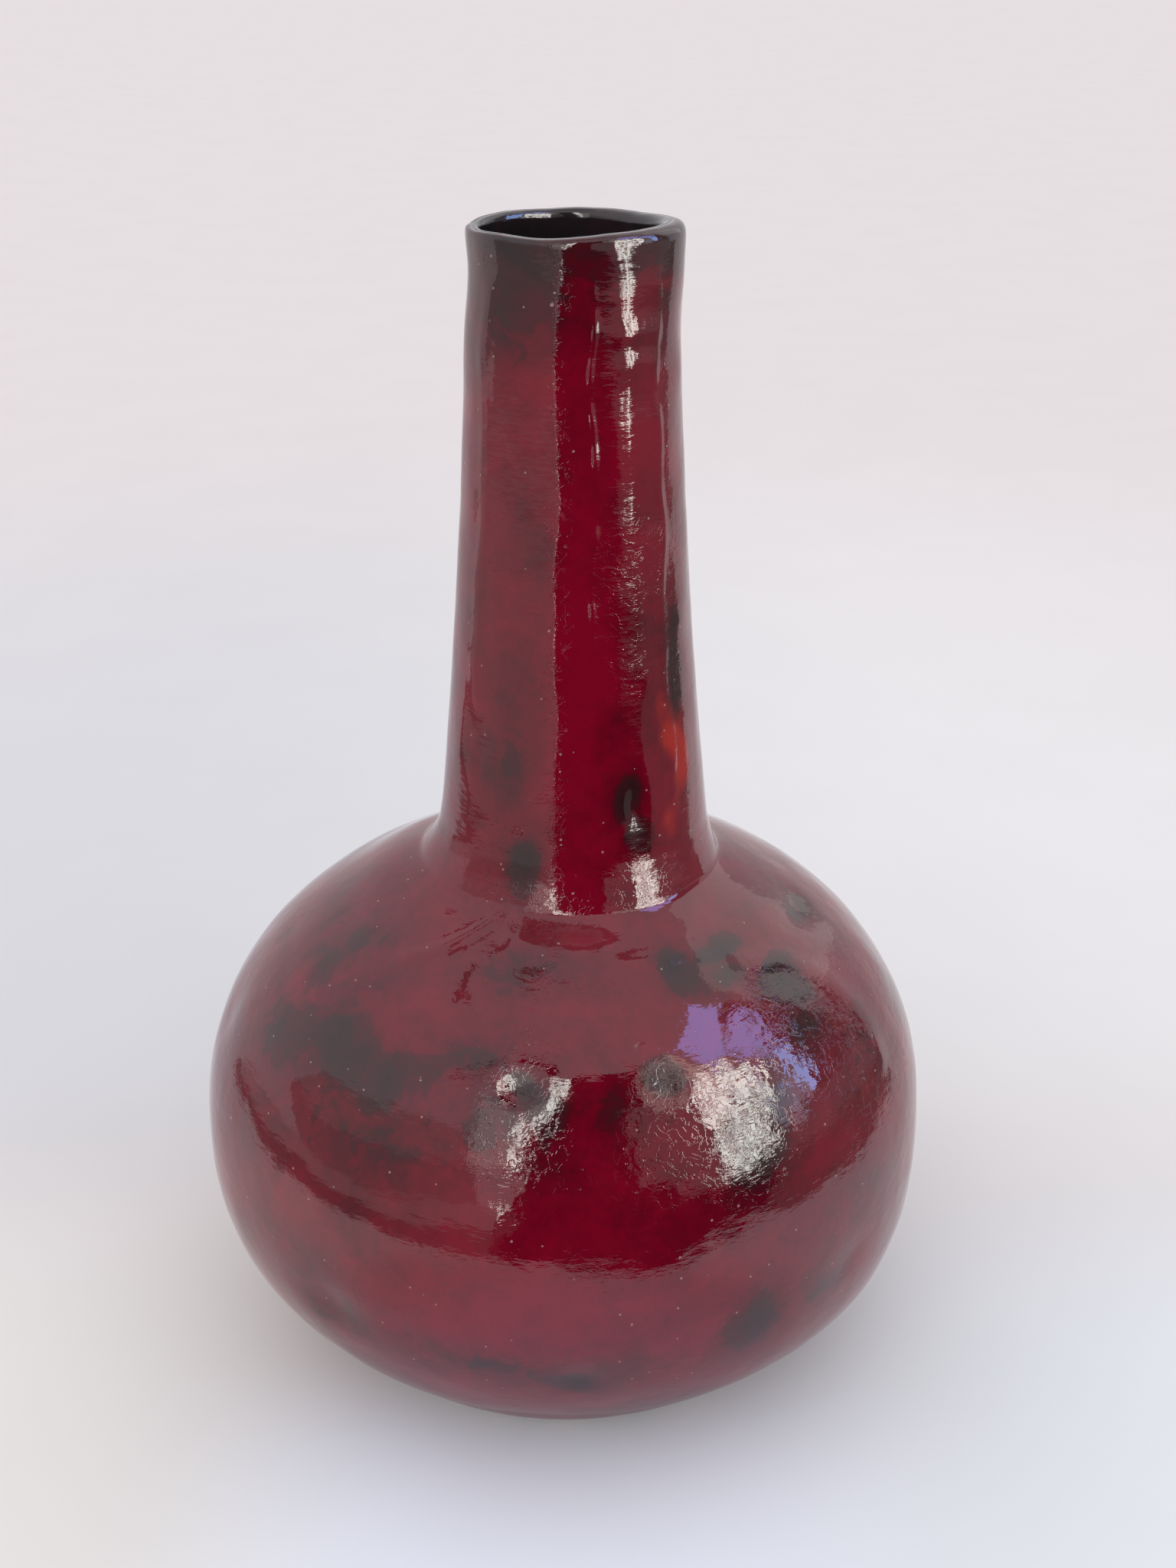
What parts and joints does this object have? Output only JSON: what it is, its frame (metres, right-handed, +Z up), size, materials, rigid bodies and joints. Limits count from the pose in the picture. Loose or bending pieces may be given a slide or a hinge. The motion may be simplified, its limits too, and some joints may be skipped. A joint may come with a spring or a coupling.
{
  "type": "ceramic bottle vase",
  "caption": "Hand-built ceramic bottle vase with a low round belly, a long tapering neck and an uneven lip, under a dark red glaze.",
  "frame": {"origin": "centre of the flat foot, on the table", "axes": "+Z up, along the height; +X to the right and +Y away in the view of the picture"},
  "size_m": [0.1794, 0.171, 0.28],
  "materials": {
    "bare_clay": "unglazed, matt, wiped foot",
    "clay": "fired clay under the glaze",
    "dark_glaze": "glossy black",
    "red_glaze": "glossy dark red, mottled with black"
  },
  "bodies": {
    "root": {"foot_slab": "bare_clay", "floor_coil": "clay", "lower_bowl": "clay", "seam_coil": "clay", "shoulder_dome": "clay", "neck_collar": "clay", "neck_tube": "clay", "lip_coil": "clay", "liner_glaze": "dark_glaze", "outer_glaze": "red_glaze"}
  },
  "joints": []
}
